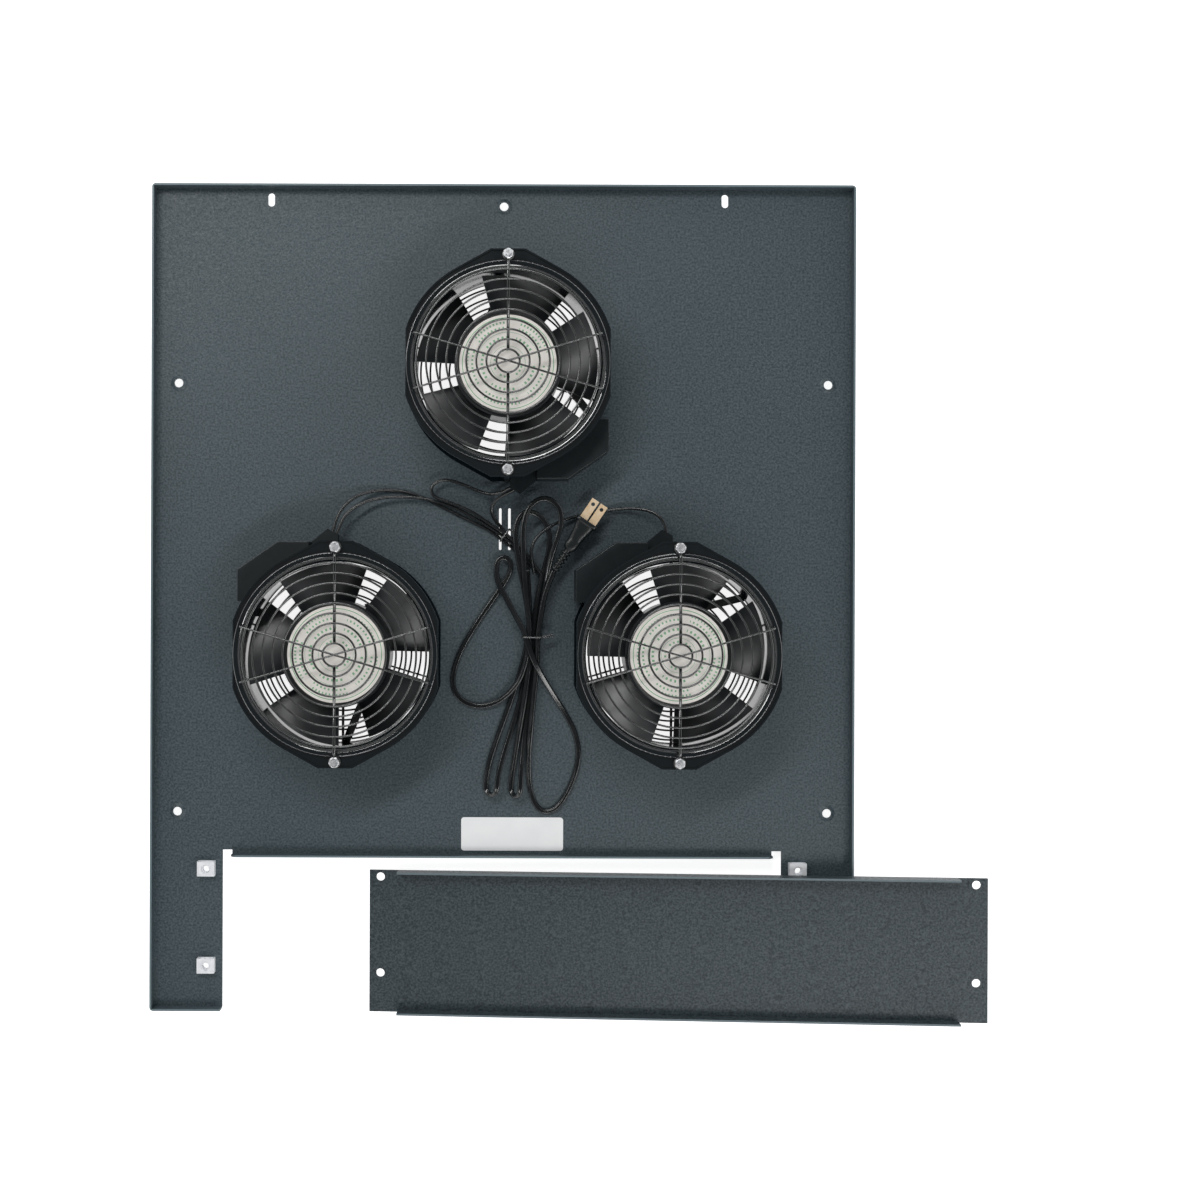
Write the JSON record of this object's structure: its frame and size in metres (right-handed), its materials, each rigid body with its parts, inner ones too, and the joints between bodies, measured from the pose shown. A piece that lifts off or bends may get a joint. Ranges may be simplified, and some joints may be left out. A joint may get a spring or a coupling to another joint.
{
  "type": "rack cabinet fan",
  "caption": "Cabinet roof panel of folded sheet steel with guarded axial fans, cage nuts, a power cord on the inner side and a loose 19 inch cover laid on it.",
  "frame": {"origin": "Centre of the four screw holes at the sides of the panel, on the panel's outer face.", "axes": "+Z points to the inner (fan) side, +X runs across the panel between the screw columns, +Y points away from the rack notch."},
  "size_m": [0.6525, 0.6523, 0.0669],
  "materials": {
    "panel_coat": "textured powder coat",
    "label_paper": "matt label stock",
    "zinc": "bright zinc plate",
    "fan_casting": "black semi-gloss paint on a die casting",
    "black_plastic": "satin moulded",
    "core_steel": "bare laminations",
    "copper": "enamelled wire, tight wound",
    "bearing_steel": "ground",
    "rotor_steel": "black paint",
    "impeller_metal": "black, semi-gloss",
    "sticker_paper": "satin film",
    "guard_wire": "gloss black paint on steel wire",
    "cord_jacket": "satin vinyl",
    "tie_wire": "coated wire",
    "plug_vinyl": "moulded vinyl",
    "blade_brass": "plain brass"
  },
  "bodies": {
    "panel": {"top_panel": "panel_coat", "cover_panel": "panel_coat", "label_plate": "label_paper", "nut_cages": "zinc", "cage_nuts": "zinc", "fan_screws": "zinc", "fan_nuts": "zinc", "top_fan_frame": "fan_casting", "top_terminal_cover": "black_plastic", "top_lead_connector": "black_plastic", "top_stator_core": "core_steel", "top_stator_windings": "copper", "top_bearings": "bearing_steel", "top_inner_guard": "guard_wire", "top_outer_guard": "guard_wire", "left_fan_frame": "fan_casting", "left_terminal_cover": "black_plastic", "left_lead_connector": "black_plastic", "left_stator_core": "core_steel", "left_stator_windings": "copper", "left_bearings": "bearing_steel", "left_inner_guard": "guard_wire", "left_outer_guard": "guard_wire", "right_fan_frame": "fan_casting", "right_terminal_cover": "black_plastic", "right_lead_connector": "black_plastic", "right_stator_core": "core_steel", "right_stator_windings": "copper", "right_bearings": "bearing_steel", "right_inner_guard": "guard_wire", "right_outer_guard": "guard_wire", "left_lead_a": "cord_jacket", "left_lead_b": "cord_jacket", "top_lead_a": "cord_jacket", "top_lead_b": "cord_jacket", "right_lead": "cord_jacket", "left_loop": "cord_jacket", "right_loop": "cord_jacket", "top_loop": "cord_jacket", "plug_cord": "cord_jacket", "cord_hank": "cord_jacket", "twist_tie": "tie_wire", "cord_tie": "tie_wire", "plug_strain_relief": "plug_vinyl", "plug_body": "plug_vinyl", "plug_blades": "blade_brass"},
    "top_rotor": {"top_rotor_cup": "rotor_steel", "top_impeller": "impeller_metal", "top_shaft": "bearing_steel", "top_hub_sticker": "sticker_paper"},
    "left_rotor": {"left_rotor_cup": "rotor_steel", "left_impeller": "impeller_metal", "left_shaft": "bearing_steel", "left_hub_sticker": "sticker_paper"},
    "right_rotor": {"right_rotor_cup": "rotor_steel", "right_impeller": "impeller_metal", "right_shaft": "bearing_steel", "right_hub_sticker": "sticker_paper"}
  },
  "joints": [
    {"name": "top_fan_spin", "type": "hinge", "parent": "panel", "child": "top_rotor", "pos_m": [0.0034, 0.178, 0.03], "axis": [0, 0, 1], "continuous": true},
    {"name": "left_fan_spin", "type": "hinge", "parent": "panel", "child": "left_rotor", "pos_m": [-0.1263, -0.043, 0.03], "axis": [0, 0, 1], "continuous": true},
    {"name": "right_fan_spin", "type": "hinge", "parent": "panel", "child": "right_rotor", "pos_m": [0.1337, -0.043, 0.03], "axis": [0, 0, 1], "continuous": true}
  ]
}
